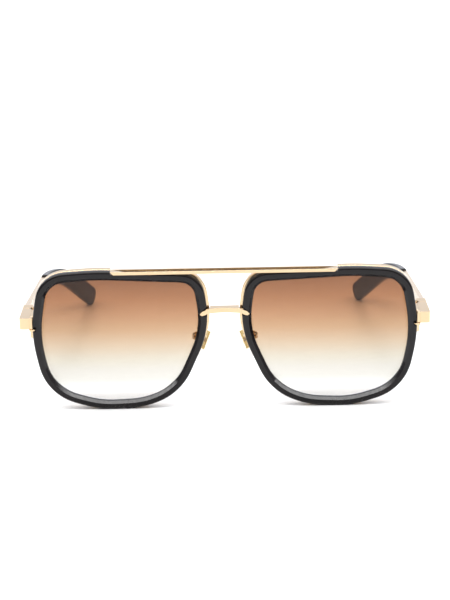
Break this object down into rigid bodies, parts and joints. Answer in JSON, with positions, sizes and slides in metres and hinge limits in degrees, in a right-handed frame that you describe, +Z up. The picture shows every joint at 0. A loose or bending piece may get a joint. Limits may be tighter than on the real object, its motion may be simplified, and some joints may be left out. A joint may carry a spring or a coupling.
{
  "type": "aviator sunglasses",
  "caption": "Square navigator-style aviator sunglasses: black rims on a gold frame with a double bridge, gradient lenses, swivelling nose pads and folding temples with ear sleeves",
  "frame": {"origin": "middle of the box that holds the open sunglasses, on the surface that they stand on", "axes": "+Z up, +X towards the wearer's left, +Y from the front towards the ears"},
  "size_m": [0.154, 0.1482, 0.0537],
  "materials": {
    "acetate": "polished black acetate",
    "gold": "polished pale gold plating",
    "screw": "gold-plated slotted screws",
    "lens": "brown tint that fades to nearly clear at the bottom",
    "pad": "clear soft moulded pad"
  },
  "bodies": {
    "front": {"rim_left": "acetate", "rim_right": "acetate", "lens_left": "lens", "lens_right": "lens", "eyewire_left": "gold", "eyewire_right": "gold", "brow_bar": "gold", "bridge": "gold", "end_piece_left": "gold", "end_piece_right": "gold", "upper_lug_left": "gold", "upper_lug_right": "gold", "lower_lug_left": "gold", "lower_lug_right": "gold", "closing_screws": "screw", "hinge_screws": "screw", "pad_arm_left": "gold", "pad_arm_right": "gold", "pad_box_left": "gold", "pad_box_right": "gold", "pad_screws": "screw"},
    "temple_left": {"temple_bar_left": "gold", "temple_tip_left": "acetate"},
    "temple_right": {"temple_bar_right": "gold", "temple_tip_right": "acetate"},
    "pad_left": {"nose_pad_left": "pad", "pad_insert_left": "gold"},
    "pad_right": {"nose_pad_right": "pad", "pad_insert_right": "gold"}
  },
  "joints": [
    {"name": "temple_left_fold", "type": "hinge", "parent": "front", "child": "temple_left", "pos_m": [0.0719, -0.05872, 0.03379], "axis": [0, 0, 1], "range_deg": [0, 85]},
    {"name": "temple_right_fold", "type": "hinge", "parent": "front", "child": "temple_right", "pos_m": [-0.0719, -0.05872, 0.03379], "axis": [0, 0, -1], "range_deg": [0, 76]},
    {"name": "pad_left_swivel", "type": "hinge", "parent": "front", "child": "pad_left", "pos_m": [0.0105, -0.06332, 0.02469], "axis": [0.4695, 0.8829, 0], "range_deg": [-10, 10]},
    {"name": "pad_right_swivel", "type": "hinge", "parent": "front", "child": "pad_right", "pos_m": [-0.0105, -0.06332, 0.02469], "axis": [-0.4695, 0.8829, 0], "range_deg": [-10, 10]}
  ]
}
